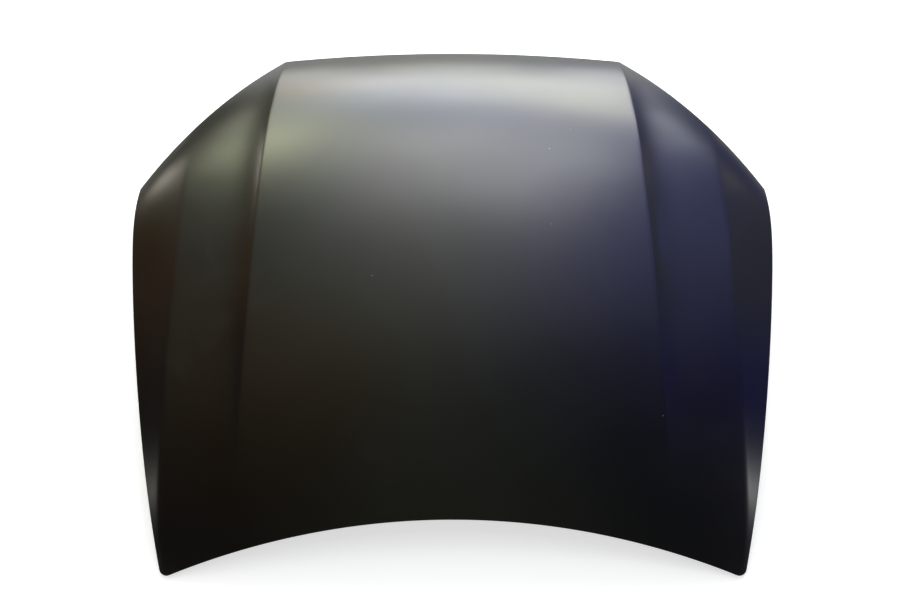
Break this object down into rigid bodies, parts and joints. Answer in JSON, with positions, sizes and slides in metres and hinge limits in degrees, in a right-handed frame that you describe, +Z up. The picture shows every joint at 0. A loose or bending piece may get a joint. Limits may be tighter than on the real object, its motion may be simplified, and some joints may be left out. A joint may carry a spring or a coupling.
{
  "type": "car bonnet",
  "caption": "Pressed steel car bonnet in black primer: a folded outer skin hemmed round a ribbed inner frame with open windows, hinge pads and a latch striker.",
  "frame": {"origin": "on the floor under the middle of the panel's outline, with the panel lying outer side up", "axes": "+X to the car's left, -Y to the nose, +Y to the windscreen, +Z up"},
  "size_m": [1.394, 1.187, 0.1643],
  "materials": {
    "outer_primer": "satin black primer with a fine texture",
    "inner_primer": "satin black dip primer",
    "mastic": "dull grey mastic"
  },
  "bodies": {
    "root": {"outer_skin": "outer_primer", "inner_frame": "inner_primer", "latch_reinforcement": "inner_primer", "palm_reinforcement": "inner_primer", "striker_plate": "inner_primer", "striker_loop": "inner_primer", "hinge_reinforcement_left": "inner_primer", "hinge_reinforcement_right": "inner_primer", "hinge_nut_left_front": "inner_primer", "hinge_nut_left_rear": "inner_primer", "hinge_nut_right_front": "inner_primer", "hinge_nut_right_rear": "inner_primer", "mastic_left_1": "mastic", "mastic_left_2": "mastic", "mastic_left_3": "mastic", "mastic_left_4": "mastic", "mastic_left_5": "mastic", "mastic_left_6": "mastic", "mastic_left_7": "mastic", "mastic_left_8": "mastic", "mastic_left_9": "mastic", "mastic_left_10": "mastic", "mastic_right_1": "mastic", "mastic_right_2": "mastic", "mastic_right_3": "mastic", "mastic_right_4": "mastic", "mastic_right_5": "mastic", "mastic_right_6": "mastic", "mastic_right_7": "mastic", "mastic_right_8": "mastic", "mastic_right_9": "mastic", "mastic_right_10": "mastic"}
  },
  "joints": []
}
